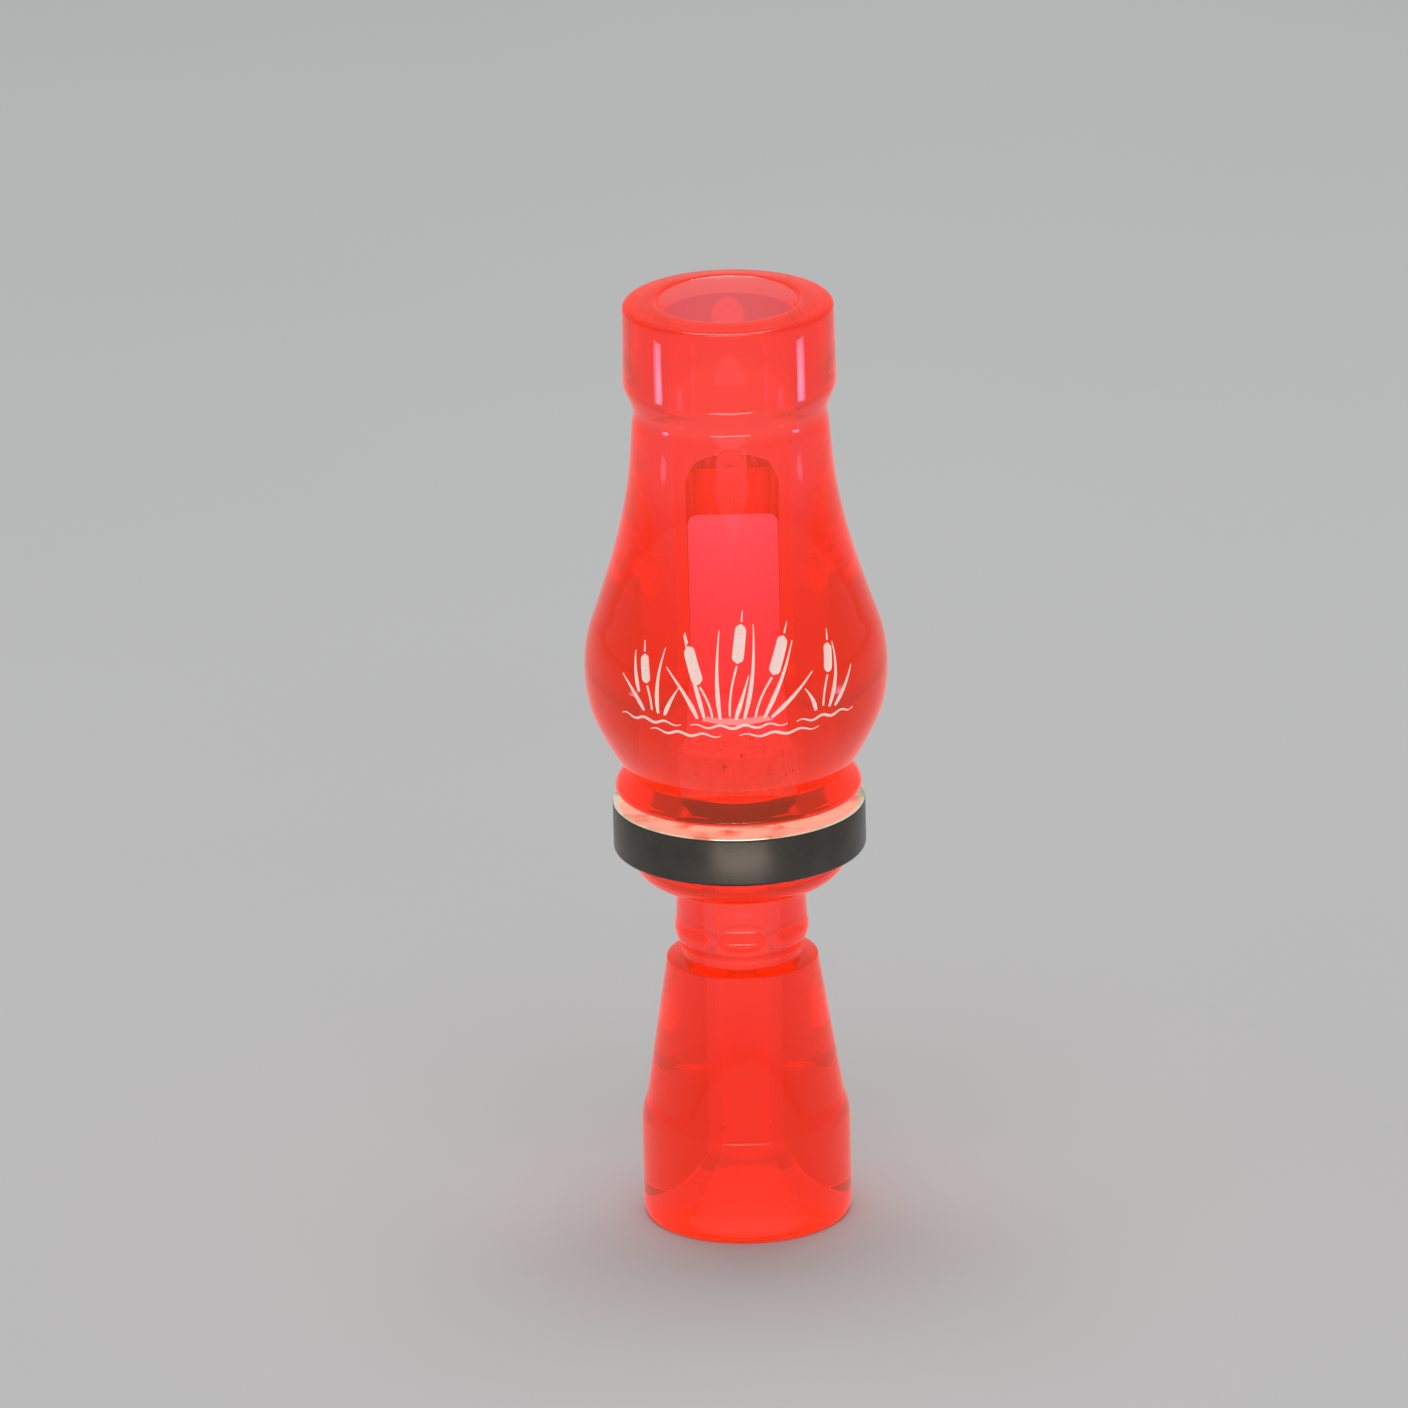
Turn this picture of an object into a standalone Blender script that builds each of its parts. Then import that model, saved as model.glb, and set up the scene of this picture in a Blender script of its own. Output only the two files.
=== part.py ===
"""A duck call standing on the open end of its insert, in metres with +Z up.

The origin is the centre of the insert's foot, and +Z is the axis that every turned piece shares.
The tone board's flat face looks towards -Y. Sizes are named in millimetres and scaled when a mesh is made.
"""

import math

import bmesh
import bpy
from mathutils import Matrix, Vector

MM = 0.001
SIDES = 40
SEAL_SIDES = 32
CURVE_STEPS = 3
GAP = 0.3

# Finishes
ACRYLIC = (1.0, 0.09, 0.03)
BLACK_NICKEL = (0.16, 0.15, 0.14)
NITRILE = (0.02, 0.02, 0.02)
FILM = (0.93, 0.9, 0.88)
CORK = (0.62, 0.42, 0.25)

# The whole call
CALL_HEIGHT = 121.3
BLANK_RADIUS = 19.05
BORE_RADIUS = 7.94
JOINT_Z = 49.1

# Band: a ring 1-1/4 inch outside, 7/8 inch inside and 1/4 inch tall
BAND_RADIUS = 15.875
BAND_HOLE_RADIUS = 11.11
BAND_HEIGHT = 6.35
BAND_EDGE = 0.45
BAND_SEAT = 0.4

# Barrel, from the band upwards
BEAD_RADIUS = 15.4
BEAD_LOW_Z = 57.1
BEAD_HIGH_Z = 57.85
BEAD_CHAMFER = 0.2
BEAD_TOP = (14.97, 58.65)
GROOVE_RADIUS = 14.0
GROOVE_Z = 59.9
BULGE_LOW = [(15.6, 62.3), (17.25, 65.35), (18.5, 68.6)]
BULGE_Z = 73.0
BULGE_HIGH = [(18.6, 77.3), (17.4, 81.05), (15.6, 86.55), (14.1, 92.15), (12.93, 98.5)]
THROAT_RADIUS = 12.2
THROAT_Z = 107.4
SHOULDER = [(12.8, 109.1), (13.28, 110.4)]
MOUTH_LOW_RADIUS = 13.36
MOUTH_LOW_Z = 111.1
MOUTH_TOP_RADIUS = 13.2
MOUTH_EDGE = 0.7
CROWN_RADIUS = 9.4
CROWN_DROP = 0.35
CROWN_INSIDE = [(8.5, 120.3), (BORE_RADIUS, 119.2)]
BORE_CHAMFER = 0.35

# Insert, from the foot upwards
FOOT_RADIUS = 13.18
FOOT_EDGE = 0.65
FOOT_EASE = 2.6
COLLAR_LOW_Z = 12.2
COLLAR = [(13.1, 13.4), (12.82, 14.75)]
CONE_LOW_RADIUS = 12.4
CONE_LOW_Z = 15.9
CONE_TOP_RADIUS = 9.6
CONE_TOP_Z = 34.05
CONE_EDGE = 0.5
NECK_GROOVE_RADIUS = 7.65
NECK_LOW_Z = 35.0
NECK_GROOVE_TOP_Z = 36.3
NECK_BEAD = [(8.0, 36.7), (8.28, 37.4), (8.45, 38.4), (8.34, 39.4)]
NECK_RADIUS = 8.24
NECK_FROM_Z = 40.3
NECK_TOP_Z = 44.35
NECK_FILLET = 0.4
SHOULDER_RADIUS = 13.75
EXIT_RADIUS = 3.175
EXIT_DEPTH = 53.8
FLARE_HEIGHT = 9.5
FLARE = [(5.1, 4.7), (8.4, 0.35)]
FLARE_CHAMFER_RADIUS = 8.9

# Tenon and its two seals
TENON_RADIUS = 7.64
SEAL_HEIGHTS = (51.5, 55.2)
SEAL_SECTION = 1.6
SEAL_GAP = 0.2
SEAL_CLEARANCE = 0.24
SEAL_RADIUS = BORE_RADIUS - SEAL_CLEARANCE - SEAL_SECTION / 2

# Tone board
BOARD_TOP_Z = 97.4
BOARD_HALF_WIDTH = 6.65
BOARD_CORNER = 2.4
BOARD_CORNER_CUT = 0.15
BOARD_TIP_CHAMFER = 0.3
BOARD_SIDES_Z = 61.8
FACE_TILT = math.tan(math.radians(3.5))
FACE_CURVE_RADIUS = 900.0
FACE_OFFSET = 1.0
CLAMP_Z = 66.8
SLOT_REAR_Z = 57.6
LIP_SLOPE = 0.42

# Tone channel in the board
CHANNEL_HALF_WIDTH = 2.8
CHANNEL_LOW_Z = 50.8
CHANNEL_LEVEL_Z = 62.8
CHANNEL_TOP_Z = 88.3
CHANNEL_FLOOR = 3.6
CHANNEL_END_DEPTH = 0.25
CHANNEL_OVERCUT = 0.25

# Reed and cork wedge
REED_THICKNESS = 0.36
REED_HALF_WIDTH = 6.35
REED_REAR_Z = 58.3
REED_TIP_Z = 91.5
REED_TIP_CORNER = 1.5
REED_REAR_CORNER = 0.6
CORK_HALF_WIDTH = 6.3
CORK_RADIUS = 7.3
CORK_TOP_Z = 67.0
CORK_TOP_CHAMFER = 1.0
CORK_REAR_GAP = 0.6


# Outlines -------------------------------------------------------------------------------------


def arc(centre, radii, start, end, steps):
    """Points on a quarter or any other stretch of an ellipse, with angles in degrees."""
    points = []
    for i in range(steps + 1):
        angle = math.radians(start + (end - start) * i / steps)
        points.append((centre[0] + radii[0] * math.cos(angle), centre[1] + radii[1] * math.sin(angle)))
    return points


def smooth(knots, steps=CURVE_STEPS):
    """A smooth curve through the knots, with the given number of steps between each two."""
    padded = [knots[0]] + list(knots) + [knots[-1]]
    points = [knots[0]]
    for before, here, there, after in zip(padded, padded[1:], padded[2:], padded[3:]):
        for i in range(1, steps + 1):
            t = i / steps
            point = []
            for p0, p1, p2, p3 in zip(before, here, there, after):
                straight = 2 * p1 + (p2 - p0) * t
                bent = (2 * p0 - 5 * p1 + 4 * p2 - p3) * t**2 + (3 * p1 - p0 - 3 * p2 + p3) * t**3
                point.append((straight + bent) / 2)
            points.append(tuple(point))
    return points


def reed_line(z):
    """Depth of the straight line that the tone board's face follows under the cork."""
    return FACE_OFFSET + FACE_TILT * (z - CLAMP_Z)


def board_face(z):
    """Depth of the tone board's face, which curves away from the reed above the cork."""
    free = max(z - CLAMP_Z, 0.0)
    return reed_line(z) + free**2 / (2 * FACE_CURVE_RADIUS)


def lip(depth):
    """Height of the sloping rear wall of the wedge slot at a depth in front of the board's face."""
    return SLOT_REAR_Z + LIP_SLOPE * (reed_line(SLOT_REAR_Z) - depth)


# Meshes ---------------------------------------------------------------------------------------


def new_object(name, shape, origin=(0.0, 0.0, 0.0)):
    """Turns a bmesh in millimetres into an object whose own origin is at the given point."""
    bmesh.ops.recalc_face_normals(shape, faces=shape.faces)
    shape.transform(Matrix.Scale(MM, 4) @ Matrix.Translation(-Vector(origin)))
    mesh = bpy.data.meshes.new(name)
    shape.to_mesh(mesh)
    shape.free()
    piece = bpy.data.objects.new(name, mesh)
    piece.location = Vector(origin) * MM
    bpy.context.scene.collection.objects.link(piece)
    return piece


def turn(outline, sides, closed=True):
    """Spins an outline of (radius, height) points round the Z axis."""
    shape = bmesh.new()
    corners = [shape.verts.new((radius, 0.0, height)) for radius, height in outline]
    edges = [shape.edges.new(pair) for pair in zip(corners, corners[1:])]
    if closed:
        edges.append(shape.edges.new((corners[-1], corners[0])))
    bmesh.ops.spin(
        shape,
        geom=corners + edges,
        cent=(0.0, 0.0, 0.0),
        axis=(0.0, 0.0, 1.0),
        angle=2 * math.pi,
        steps=sides,
        use_merge=True,
    )
    bmesh.ops.remove_doubles(shape, verts=shape.verts, dist=1e-4)
    return shape


def prism(outline, low, high):
    """A closed solid between two copies of an outline: low and high turn its points into places."""
    shape = bmesh.new()
    near = [shape.verts.new(low(point)) for point in outline]
    far = [shape.verts.new(high(point)) for point in outline]
    shape.faces.new(near)
    shape.faces.new(reversed(far))
    for i in range(len(outline)):
        j = (i + 1) % len(outline)
        shape.faces.new((near[j], near[i], far[i], far[j]))
    return shape


def side_prism(outline, half_width):
    """Extrudes an outline of (depth, height) points across the call."""
    return prism(
        outline,
        lambda p: (-half_width, p[0], p[1]),
        lambda p: (half_width, p[0], p[1]),
    )


def front_prism(outline, front, back):
    """Extrudes an outline of (sideways, height) points from front to back."""
    return prism(
        outline,
        lambda p: (p[0], front, p[1]),
        lambda p: (p[0], back, p[1]),
    )


def cutter(name, shape):
    tool = new_object(name, shape)
    tool.hide_render = True
    tool.display_type = "WIRE"
    return tool


def boolean(piece, tool, operation="DIFFERENCE"):
    cut = piece.modifiers.new(tool.name, "BOOLEAN")
    cut.operation = operation
    cut.solver = "EXACT"
    cut.object = tool


def finish(piece, colour, roughness, metallic=0.0, transmission=0.0):
    """Smooth shading and a material of the piece's own."""
    piece.data.shade_smooth()
    piece.data.set_sharp_from_angle(angle=math.radians(35))
    material = bpy.data.materials.new(piece.name)
    material.use_nodes = True
    shader = material.node_tree.nodes["Principled BSDF"]
    shader.inputs["Base Color"].default_value = (*colour, 1.0)
    shader.inputs["Roughness"].default_value = roughness
    shader.inputs["Metallic"].default_value = metallic
    shader.inputs["Transmission Weight"].default_value = transmission
    piece.data.materials.append(material)
    return piece


# Pieces ---------------------------------------------------------------------------------------


def barrel_outside():
    """The barrel's outline from its end face in the band up to its mouth."""
    stub = BAND_HOLE_RADIUS - GAP
    ledge_z = JOINT_Z + BAND_HEIGHT + GAP
    band_seat = [(stub, JOINT_Z), (stub, ledge_z), (BAND_HOLE_RADIUS + BAND_SEAT, ledge_z)]
    bead = [(BEAD_RADIUS - BEAD_CHAMFER, BEAD_LOW_Z - BEAD_CHAMFER), (BEAD_RADIUS, BEAD_LOW_Z)]
    bead += smooth([(BEAD_RADIUS, BEAD_HIGH_Z), BEAD_TOP, (GROOVE_RADIUS, GROOVE_Z)])
    widest = [(BLANK_RADIUS, BULGE_Z)]
    throat = [(THROAT_RADIUS, THROAT_Z)]
    bulge = smooth([(GROOVE_RADIUS, GROOVE_Z)] + BULGE_LOW + widest + BULGE_HIGH + throat)
    shoulder = smooth(SHOULDER, 2) + [(MOUTH_LOW_RADIUS, MOUTH_LOW_Z)]
    return band_seat + bead + bulge[1:] + shoulder


def barrel_mouth():
    """The crowned end face that the caller's lips meet, from its outer edge into the bore."""
    edge_z = CALL_HEIGHT - CROWN_DROP
    edge = arc((MOUTH_TOP_RADIUS - MOUTH_EDGE, edge_z - MOUTH_EDGE), (MOUTH_EDGE, MOUTH_EDGE), 0, 80, 3)
    crown = smooth([edge[-1], (CROWN_RADIUS, CALL_HEIGHT)] + CROWN_INSIDE)
    return edge + crown[1:]


def make_barrel():
    bore = [(BORE_RADIUS, JOINT_Z + BORE_CHAMFER), (BORE_RADIUS + BORE_CHAMFER, JOINT_Z)]
    shape = turn(barrel_outside() + barrel_mouth() + bore, SIDES)
    return finish(new_object("barrel", shape, (0, 0, JOINT_Z)), ACRYLIC, 0.04, transmission=0.9)


def make_band():
    low = JOINT_Z
    high = JOINT_Z + BAND_HEIGHT
    rounded = BAND_RADIUS - BAND_EDGE
    outline = [(BAND_HOLE_RADIUS, low)]
    outline += arc((rounded, low + BAND_EDGE), (BAND_EDGE, BAND_EDGE), -90, 0, 2)
    outline += arc((rounded, high - BAND_EDGE), (BAND_EDGE, BAND_EDGE), 0, 90, 2)
    outline += [(BAND_HOLE_RADIUS, high)]
    shape = turn(outline, SIDES)
    return finish(new_object("barrel_band", shape, (0, 0, JOINT_Z)), BLACK_NICKEL, 0.15, metallic=1.0)


def insert_outside():
    """The insert's outline from the lip of its flare up to the shoulder that the barrel rests on."""
    foot = arc((FOOT_RADIUS - FOOT_EDGE, FOOT_EASE), (FOOT_EDGE, FOOT_EASE), -90, 0, 5)
    collar = smooth([(FOOT_RADIUS, COLLAR_LOW_Z)] + COLLAR + [(CONE_LOW_RADIUS, CONE_LOW_Z)])
    cone = [(CONE_TOP_RADIUS, CONE_TOP_Z)]
    cone += arc((CONE_TOP_RADIUS - CONE_EDGE, CONE_TOP_Z), (CONE_EDGE, CONE_EDGE), 20, 80, 2)
    neck = [(NECK_GROOVE_RADIUS, NECK_LOW_Z), (NECK_GROOVE_RADIUS, NECK_GROOVE_TOP_Z)]
    neck += smooth(NECK_BEAD + [(NECK_RADIUS, NECK_FROM_Z)], 2)
    neck += [(NECK_RADIUS, NECK_TOP_Z - NECK_FILLET), (NECK_RADIUS + NECK_FILLET, NECK_TOP_Z)]
    top_z = JOINT_Z - GAP
    bowl = arc((NECK_RADIUS, top_z), (SHOULDER_RADIUS - NECK_RADIUS, top_z - NECK_TOP_Z), -80, 0, 7)
    return foot + collar + cone + neck + bowl


def tenon_outside():
    """The tenon's outline with its two seal grooves, up to the tip of the tone board."""
    outline = [(TENON_RADIUS, JOINT_Z - GAP)]
    half = SEAL_SECTION / 2 + SEAL_GAP
    floor = SEAL_RADIUS - half
    for height in SEAL_HEIGHTS:
        outline += [(TENON_RADIUS, height - half), (floor, height - half)]
        outline += [(floor, height + half), (TENON_RADIUS, height + half)]
    outline += [(TENON_RADIUS, BOARD_TOP_Z - BOARD_TIP_CHAMFER)]
    outline += [(TENON_RADIUS - BOARD_TIP_CHAMFER, BOARD_TOP_Z)]
    return outline + [(0.0, BOARD_TOP_Z)]


def exit_inside():
    """The exit bore's outline, from its blind end down to the flare's lip."""
    bore = [(0.0, EXIT_DEPTH), (EXIT_RADIUS, EXIT_DEPTH)]
    flare = smooth([(EXIT_RADIUS, FLARE_HEIGHT)] + FLARE)
    return bore + flare + [(FLARE_CHAMFER_RADIUS, 0.0)]


def face_cutter():
    """Leaves the tone board's curved face and the slot that the cork wedge is pushed into."""
    reach = TENON_RADIUS + 1.0
    top = BOARD_TOP_Z + 1.0
    heights = [SLOT_REAR_Z] + [CLAMP_Z + (top - CLAMP_Z) * i / 12 for i in range(13)]
    outline = [(board_face(z), z) for z in heights]
    outline += [(-reach, top), (-reach, lip(-reach))]
    return cutter("face_cutter", side_prism(outline, reach))


def plan_cutter():
    """Trims the tone board to straight sides and rounded top corners."""
    reach = TENON_RADIUS + 1.0
    corner = (BOARD_CORNER, BOARD_CORNER)
    centre = (BOARD_HALF_WIDTH - BOARD_CORNER, BOARD_TOP_Z - BOARD_CORNER + BOARD_CORNER_CUT)
    right = [(BOARD_HALF_WIDTH, BOARD_SIDES_Z)] + arc(centre, corner, 0, 84, 4)
    left = [(-x, z) for x, z in reversed(right)]
    top = BOARD_TOP_Z + 2.0
    outer = [(-reach, BOARD_SIDES_Z), (-reach, top), (reach, top), (reach, BOARD_SIDES_Z)]
    return cutter("plan_cutter", front_prism(right + left + outer, -reach, reach))


def channel_cutter():
    """The rounded channel that carries the sound from under the reed into the exit bore."""
    rows = []
    shape = bmesh.new()
    climb = CHANNEL_TOP_Z - CHANNEL_LEVEL_Z
    heights = [CHANNEL_LOW_Z, SLOT_REAR_Z]
    heights += [CHANNEL_LEVEL_Z + climb * i / 6 for i in range(7)]
    end_floor = board_face(CHANNEL_TOP_Z) + CHANNEL_END_DEPTH
    for z in heights:
        rise = max(z - CHANNEL_LEVEL_Z, 0.0) / climb
        floor = CHANNEL_FLOOR + (end_floor - CHANNEL_FLOOR) * rise**2
        rim = board_face(z) - CHANNEL_OVERCUT
        section = arc((0.0, rim), (CHANNEL_HALF_WIDTH, floor - rim), 0, 180, 10)
        rows.append([shape.verts.new((x, y, z)) for x, y in section])
    for lower, upper in zip(rows, rows[1:]):
        for i in range(len(lower)):
            j = (i + 1) % len(lower)
            shape.faces.new((lower[i], lower[j], upper[j], upper[i]))
    shape.faces.new(reversed(rows[0]))
    shape.faces.new(rows[-1])
    return cutter("channel_cutter", shape)


def make_insert():
    outline = exit_inside() + insert_outside() + tenon_outside()
    piece = new_object("insert", turn(outline, SIDES, closed=False))
    boolean(piece, face_cutter())
    boolean(piece, plan_cutter())
    boolean(piece, channel_cutter())
    return finish(piece, ACRYLIC, 0.04, transmission=0.9)


def make_seal(name, height):
    section = SEAL_SECTION / 2
    outline = arc((SEAL_RADIUS, height), (section, section), 0, 360, 8)[:-1]
    shape = turn(outline, SEAL_SIDES)
    return finish(new_object(name, shape, (0, 0, height)), NITRILE, 0.6)


def make_reed():
    """A thin straight strip on the board's line, with its origin where it starts to bend."""
    tip = (REED_TIP_CORNER, REED_TIP_CORNER)
    rear = (REED_REAR_CORNER, REED_REAR_CORNER)
    tip_x = REED_HALF_WIDTH - REED_TIP_CORNER
    rear_x = REED_HALF_WIDTH - REED_REAR_CORNER
    right = arc((rear_x, REED_REAR_Z + REED_REAR_CORNER), rear, -90, 0, 2)
    right += arc((tip_x, REED_TIP_Z - REED_TIP_CORNER), tip, 0, 90, 5)
    outline = right + [(-x, z) for x, z in reversed(right)]
    shape = prism(
        outline,
        lambda p: (p[0], reed_line(p[1]) - GAP - REED_THICKNESS, p[1]),
        lambda p: (p[0], reed_line(p[1]) - GAP, p[1]),
    )
    hinge = (0, reed_line(CLAMP_Z) - GAP - REED_THICKNESS / 2, CLAMP_Z)
    return finish(new_object("reed", shape, hinge), FILM, 0.35, transmission=0.4)


def make_cork():
    """The wedge that holds the reed down: flat below, round in front, jammed under the slot's lip."""
    rest = REED_THICKNESS + 2 * GAP
    lip_gap = GAP * math.hypot(1.0, LIP_SLOPE)
    deep_y = reed_line(SLOT_REAR_Z + CORK_REAR_GAP) - rest
    outline = [
        (deep_y, lip(deep_y) + lip_gap),
        (reed_line(CORK_TOP_Z) - rest, CORK_TOP_Z),
        (-CORK_RADIUS - 1.0, CORK_TOP_Z - CORK_TOP_CHAMFER),
        (-CORK_RADIUS - 1.0, lip(-CORK_RADIUS - 1.0) + lip_gap),
    ]
    piece = new_object("cork_wedge", side_prism(outline, CORK_HALF_WIDTH))
    rod = [(0.0, SLOT_REAR_Z - 2), (CORK_RADIUS, SLOT_REAR_Z - 2)]
    rod += [(CORK_RADIUS, CORK_TOP_Z + 2), (0.0, CORK_TOP_Z + 2)]
    boolean(piece, cutter("cork_round", turn(rod, SIDES, closed=False)), "INTERSECT")
    return finish(piece, CORK, 0.85)


def add_joint_empty(name, location):
    empty = bpy.data.objects.new(name, None)
    empty.location = Vector(location) * MM
    bpy.context.scene.collection.objects.link(empty)
    return empty


def attach(piece, parent):
    """Parents a piece and keeps it where it stands."""
    piece.location = piece.location - parent.location
    piece.parent = parent


def main():
    for old in list(bpy.data.objects):
        bpy.data.objects.remove(old, do_unlink=True)
    make_insert()
    make_cork()
    make_reed()
    make_seal("o_ring_lower", SEAL_HEIGHTS[0])
    make_seal("o_ring_upper", SEAL_HEIGHTS[1])
    slide = add_joint_empty("barrel_slide", (0, 0, JOINT_Z))
    attach(make_barrel(), slide)
    attach(make_band(), slide)


main()
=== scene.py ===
import math

import bmesh
import bpy
from mathutils import Matrix, Vector, noise


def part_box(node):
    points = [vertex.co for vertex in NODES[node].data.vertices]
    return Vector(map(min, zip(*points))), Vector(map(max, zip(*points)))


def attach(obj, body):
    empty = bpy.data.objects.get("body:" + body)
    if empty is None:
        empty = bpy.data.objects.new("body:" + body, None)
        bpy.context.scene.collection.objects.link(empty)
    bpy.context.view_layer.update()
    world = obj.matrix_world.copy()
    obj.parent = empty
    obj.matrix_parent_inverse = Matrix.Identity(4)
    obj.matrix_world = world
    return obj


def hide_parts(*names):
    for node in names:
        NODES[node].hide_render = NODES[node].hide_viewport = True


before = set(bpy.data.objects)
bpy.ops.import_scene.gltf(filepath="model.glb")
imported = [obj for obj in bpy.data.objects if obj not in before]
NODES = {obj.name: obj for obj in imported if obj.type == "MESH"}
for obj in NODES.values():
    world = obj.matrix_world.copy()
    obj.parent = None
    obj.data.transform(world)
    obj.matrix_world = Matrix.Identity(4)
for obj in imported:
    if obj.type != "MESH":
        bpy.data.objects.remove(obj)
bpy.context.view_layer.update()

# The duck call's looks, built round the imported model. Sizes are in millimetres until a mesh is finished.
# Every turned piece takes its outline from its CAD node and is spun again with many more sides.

MM = 0.001
SIDES = 240
SEAL_SIDES = 96

# How outlines are refined: a turn in degrees, lengths, and the height of an arris as a share of its cut
SHARP_TURN = 50.0
LONG_LINE = 3.3
FINE_STEP = 0.4
ARRIS = 0.12
ARRIS_CROWN = 0.3

# Tone board, as in the CAD model
FACE_TILT = math.tan(math.radians(3.5))
FACE_CURVE_RADIUS = 900.0
FACE_OFFSET = 1.0
CLAMP_Z = 66.8
SLOT_REAR_Z = 57.6
LIP_SLOPE = 0.42
BOARD_HALF_WIDTH = 6.65
BOARD_CORNER = 2.4
BOARD_SIDES_Z = 61.8
BOARD_TIP_CHAMFER = 0.3
CHANNEL_HALF_WIDTH = 2.8
CHANNEL_LOW_Z = 50.8
CHANNEL_LEVEL_Z = 62.8
CHANNEL_TOP_Z = 88.3
CHANNEL_FLOOR = 3.6
CHANNEL_END_DEPTH = 0.25
CHANNEL_OVERCUT = 0.25

# Reed, cork and seals
REED_GAP = 0.3
REED_THICKNESS = 0.36
REED_TIP_CORNER = 1.5
REED_REAR_CORNER = 0.6
REED_EDGE = 0.06
CORK_VOXEL = 0.2
CORK_WAVE = 0.05
CORK_PIT_DEPTH = 0.75
CORK_PIT_LEVEL = 0.12
SEAL_SQUEEZE = 0.02
SEAL_LIFT = 0.1

# Acrylic: what counts as a surface inside it
BORE_MARGIN = 0.1
EXIT_BORE_REACH = 4.0

# Engraving on the front of the barrel. A place on it is (across, up): across is measured round a circle
# of radius ENGRAVING_ROUND, and up from the foot.
ENGRAVING_DEPTH = 0.14
ENGRAVING_REACH = 0.3
ENGRAVING_ROUND = 19.0
BODY_LOW_Z = 62.0
BODY_HIGH_Z = 100.0
BODY_LEAST_RADIUS = 12.0
SPIKE_GAP = 0.3
SPIKE_LENGTH = 1.3
RIPPLE_HEIGHT = 0.22

# Camera: a long lens in front of the call and above it, tipped a little to one side
CAMERA_DISTANCE = 2100.0
CAMERA_ELEVATION = 20.0
CAMERA_ROLL = 1.35
CAMERA_AIM_Z = 60.3
CAMERA_AIM_RIGHT = -4.29
CAMERA_AIM_UP = 6.97
CAMERA_SENSOR = 36.0
CAMERA_LENS = 427.8

# Studio: lamps with their power in watts and spread in degrees, linear colours, and the floor
PANEL_ACROSS = 278
PANEL_FORWARD = -36
PANEL_Z = 24
PANEL_AIM = (0, 0, 116)
PANEL_POWER = 0.0005
PANEL_SPREAD = 15
BOX_AIM = (0, 0, 60)
LILAC = (0.9, 0.6, 1.0)
WARM = (1.0, 0.9, 0.82)
WORLD_COLOUR = (0.80, 0.81, 0.82)
WORLD_STRENGTH = 0.48
FLOOR_RADIUS = 6000.0


# Outlines -------------------------------------------------------------------------------------


def arc(centre, radii, start, end, steps):
    """Points on a stretch of an ellipse, with angles in degrees."""
    points = []
    for i in range(steps + 1):
        angle = math.radians(start + (end - start) * i / steps)
        points.append((centre[0] + radii[0] * math.cos(angle), centre[1] + radii[1] * math.sin(angle)))
    return points


def outline_of(node):
    """The node's cross-section beside the Z axis: a chain of (radius, height) points, and if it closes."""
    shape = bmesh.new()
    shape.from_mesh(NODES[node].data)
    bmesh.ops.remove_doubles(shape, verts=shape.verts, dist=1e-6)
    cut = {v for v in shape.verts if abs(v.co.y) < 2e-6 and v.co.x > -1e-6}
    links = {v: [] for v in cut}
    for edge in shape.edges:
        one, two = edge.verts
        if one in cut and two in cut:
            links[one].append(two)
            links[two].append(one)
    ends = [v for v in cut if len(links[v]) == 1]
    closed = not ends
    start = min(ends or cut, key=lambda v: (v.co.x, v.co.z))
    chain = [start]
    before, here = None, start
    while True:
        ahead = [v for v in links[here] if v is not before and v is not start]
        if not ahead:
            break
        before, here = here, ahead[0]
        chain.append(here)
    points = [(v.co.x / MM, v.co.z / MM) for v in chain]
    shape.free()
    return points, closed


def refine(points, closed):
    """Rounds the coarse curves of an outline, keeps its long straight lines, and breaks its sharp corners."""
    spots = [Vector(p) for p in points]
    count = len(spots)
    lines = count if closed else count - 1
    steps = [spots[(i + 1) % count] - spots[i] for i in range(lines)]
    sizes = [s.length for s in steps]
    ways = [s.normalized() for s in steps]
    leave = list(ways)
    arrive = list(ways)
    sharp = set()
    for i in range(count):
        if not closed and i in (0, count - 1):
            continue
        back = (i - 1) % count
        if math.degrees(ways[back].angle(ways[i])) > SHARP_TURN:
            sharp.add(i)
            continue
        if sizes[back] > LONG_LINE:
            way = ways[back]
        elif sizes[i] > LONG_LINE:
            way = ways[i]
        else:
            way = (ways[back] * sizes[i] + ways[i] * sizes[back]).normalized()
        arrive[back] = way
        leave[i] = way
    fine = []
    for i in range(lines):
        here, there = spots[i], spots[(i + 1) % count]
        size = sizes[i]
        bend = leave[i].angle(ways[i]) + arrive[i].angle(ways[i])
        pieces = 1 if bend < 1e-3 else max(3, math.ceil(size / FINE_STEP))
        for k in range(pieces):
            t = k / pieces
            a = 2 * t**3 - 3 * t**2 + 1
            b = t**3 - 2 * t**2 + t
            c = t**3 - t**2
            place = here * a + leave[i] * (size * b) + arrive[i] * (size * c) + there * (1 - a)
            if k == 0 and i in sharp:
                back = (i - 1) % count
                cut = min(ARRIS, sizes[back] / 4, size / 4)
                crown = here - (ways[back] - ways[i]) * (cut * ARRIS_CROWN)
                fine += [here - ways[back] * cut, crown, here + ways[i] * cut]
            else:
                fine.append(place)
    if not closed:
        fine.append(spots[-1])
    low = [min(p[axis] for p in points) for axis in (0, 1)]
    high = [max(p[axis] for p in points) for axis in (0, 1)]
    return [tuple(min(max(p[axis], low[axis]), high[axis]) for axis in (0, 1)) for p in fine]


# Meshes ---------------------------------------------------------------------------------------


def new_object(name, shape):
    """Turns a bmesh in millimetres into an object in metres."""
    bmesh.ops.recalc_face_normals(shape, faces=shape.faces)
    shape.transform(Matrix.Scale(MM, 4))
    mesh = bpy.data.meshes.new(name)
    shape.to_mesh(mesh)
    shape.free()
    piece = bpy.data.objects.new(name, mesh)
    bpy.context.scene.collection.objects.link(piece)
    return piece


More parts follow.
